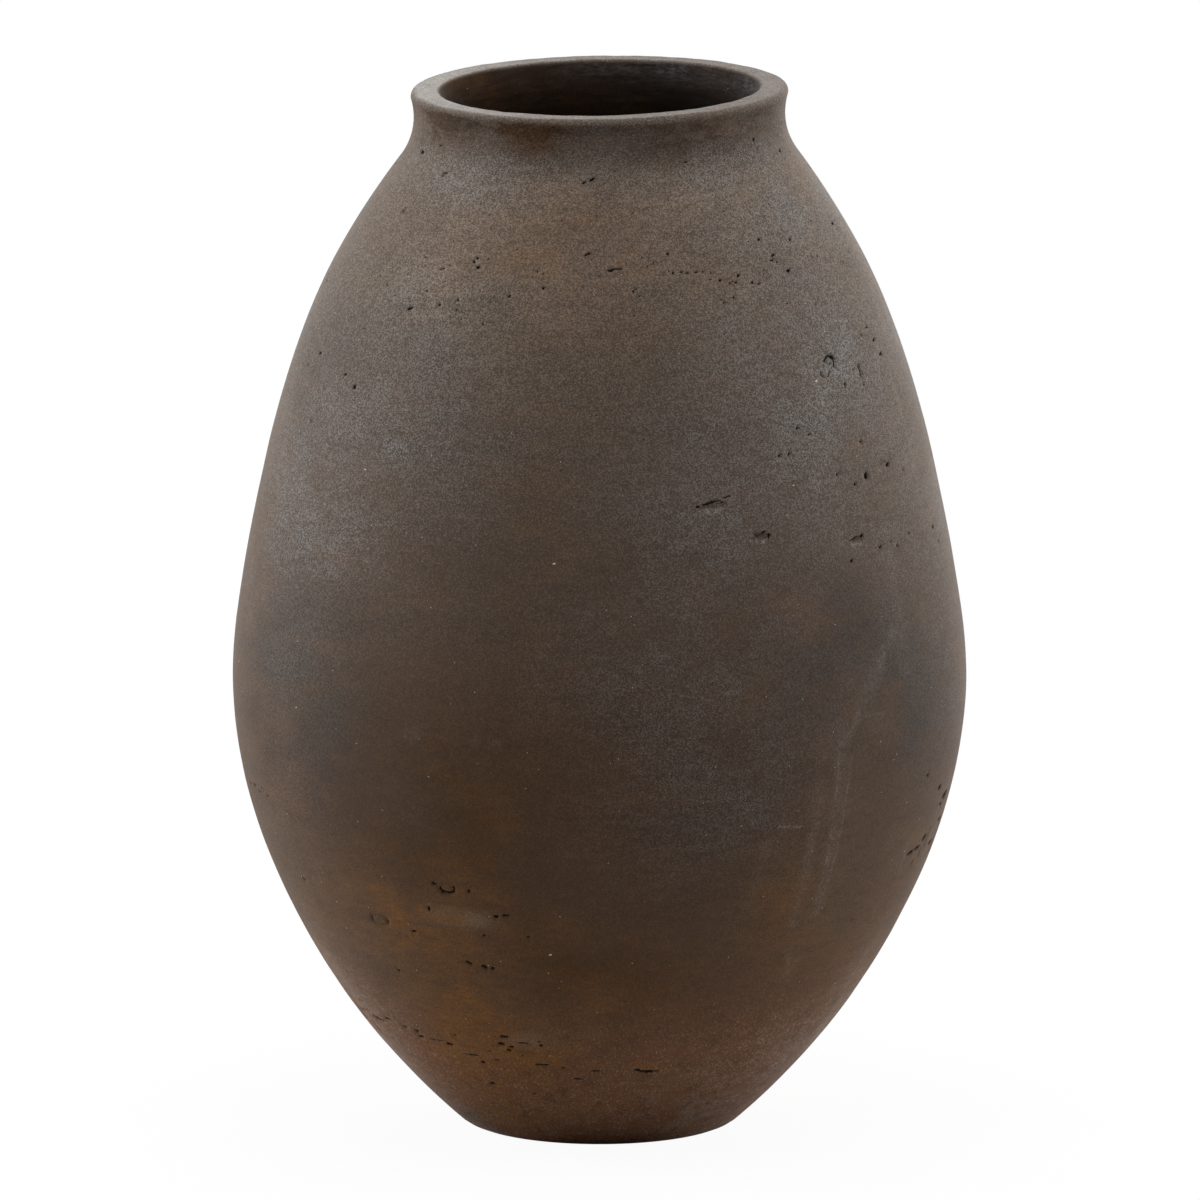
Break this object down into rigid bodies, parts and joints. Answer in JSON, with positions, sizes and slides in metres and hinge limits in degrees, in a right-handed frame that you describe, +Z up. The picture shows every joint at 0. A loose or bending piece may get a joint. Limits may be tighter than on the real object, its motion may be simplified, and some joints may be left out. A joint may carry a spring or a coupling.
{
  "type": "vase",
  "caption": "Egg-shaped unglazed earthenware vase with a narrow flat foot, full belly, short hollow neck and thick flared rim, built up from luted clay courses; holds dried stems or branches.",
  "frame": {"origin": "middle of the foot, on the surface that the vase stands on", "axes": "+Z up along the vase's axis, towards the mouth; X and Y across, with -Y towards the viewer of the picture"},
  "size_m": [0.279, 0.279, 0.4],
  "materials": {
    "fired_clay": "unglazed, matt, smoke-darkened brown earthenware with small pits"
  },
  "bodies": {
    "root": {"base_slab": "fired_clay", "foot_course": "fired_clay", "lower_wall_course": "fired_clay", "lower_belly_course": "fired_clay", "upper_belly_course": "fired_clay", "lower_shoulder_course": "fired_clay", "upper_shoulder_course": "fired_clay", "neck_collar": "fired_clay", "rim_coil": "fired_clay"}
  },
  "joints": []
}
